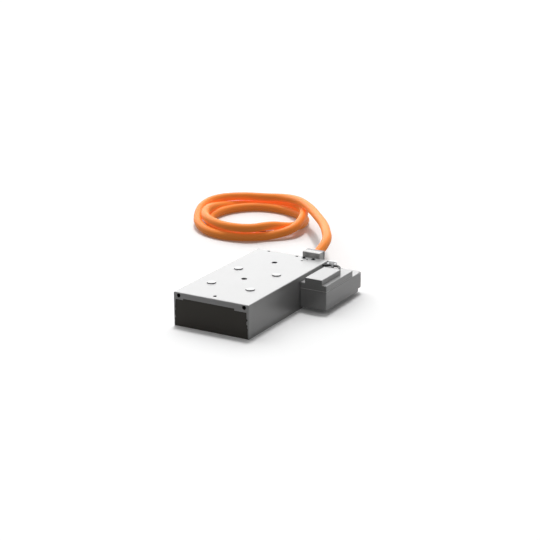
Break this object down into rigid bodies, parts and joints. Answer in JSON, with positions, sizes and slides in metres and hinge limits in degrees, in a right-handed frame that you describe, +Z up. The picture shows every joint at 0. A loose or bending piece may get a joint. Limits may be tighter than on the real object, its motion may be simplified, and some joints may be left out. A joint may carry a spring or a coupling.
{
  "type": "linear motor",
  "caption": "Potted iron-core linear motor coil unit with a side sensor head and a coiled supply cable in a rear clamp.",
  "frame": {"origin": "centre of the coil unit's air-gap face, on its underside", "axes": "+Y along the travel, towards the cable clamp; +Z up, from the air-gap face to the mounting face; +X across, towards the sensor head"},
  "size_m": [0.3467, 0.503, 0.0544],
  "materials": {
    "unit_aluminium": "fine milled",
    "resin": "cast epoxy",
    "core_steel": "stacked sheet edges",
    "bright_steel": "zinc plated",
    "insulation": "glass fibre",
    "copper": "enamelled wire",
    "circuit_board": "solder mask",
    "core_sheath": "extruded",
    "pad_steel": "turned",
    "clamp_aluminium": "milled",
    "clamp_dark": "grey anodised",
    "black_rubber": "moulded",
    "black_steel": "black oxide",
    "head_aluminium": "milled and anodised",
    "gasket_rubber": "flat sheet",
    "brass": "turned",
    "chip_black": "moulded",
    "header_white": "moulded",
    "clip_steel": "bent sheet",
    "black_sheath": "extruded",
    "orange_jacket": "satin extruded jacket"
  },
  "bodies": {
    "root": {"housing": "unit_aluminium", "potting_resin": "resin", "lamination_core": "core_steel", "core_rivets": "bright_steel", "slot_wedges": "insulation", "slot_liners": "insulation", "coils_phase_u": "copper", "coils_phase_v": "copper", "coils_phase_w": "copper", "phase_busbars": "copper", "terminal_board": "circuit_board", "winding_thermistor": "insulation", "supply_cores": "core_sheath", "seating_pads": "pad_steel", "clamp_block": "clamp_aluminium", "clamp_back": "clamp_dark", "cable_seal": "black_rubber", "clamp_screws": "black_steel", "clamp_back_screws": "black_steel", "encoder_base": "head_aluminium", "lid_gasket": "gasket_rubber", "encoder_lid": "head_aluminium", "encoder_end_cap": "head_aluminium", "encoder_board": "circuit_board", "board_standoffs": "brass", "board_screws": "bright_steel", "field_sensors": "chip_black", "signal_chip": "chip_black", "board_header": "header_white", "cover_screws": "bright_steel", "head_shim": "bright_steel", "head_inserts": "brass", "head_screws": "black_steel", "wire_grommets": "black_rubber", "wire_clip": "clip_steel", "clip_screw": "bright_steel", "signal_wires": "black_sheath", "supply_cable": "orange_jacket", "supply_cable_coil": "orange_jacket", "cable_end_sleeve": "black_sheath", "cable_end_cores": "core_sheath"}
  },
  "joints": []
}
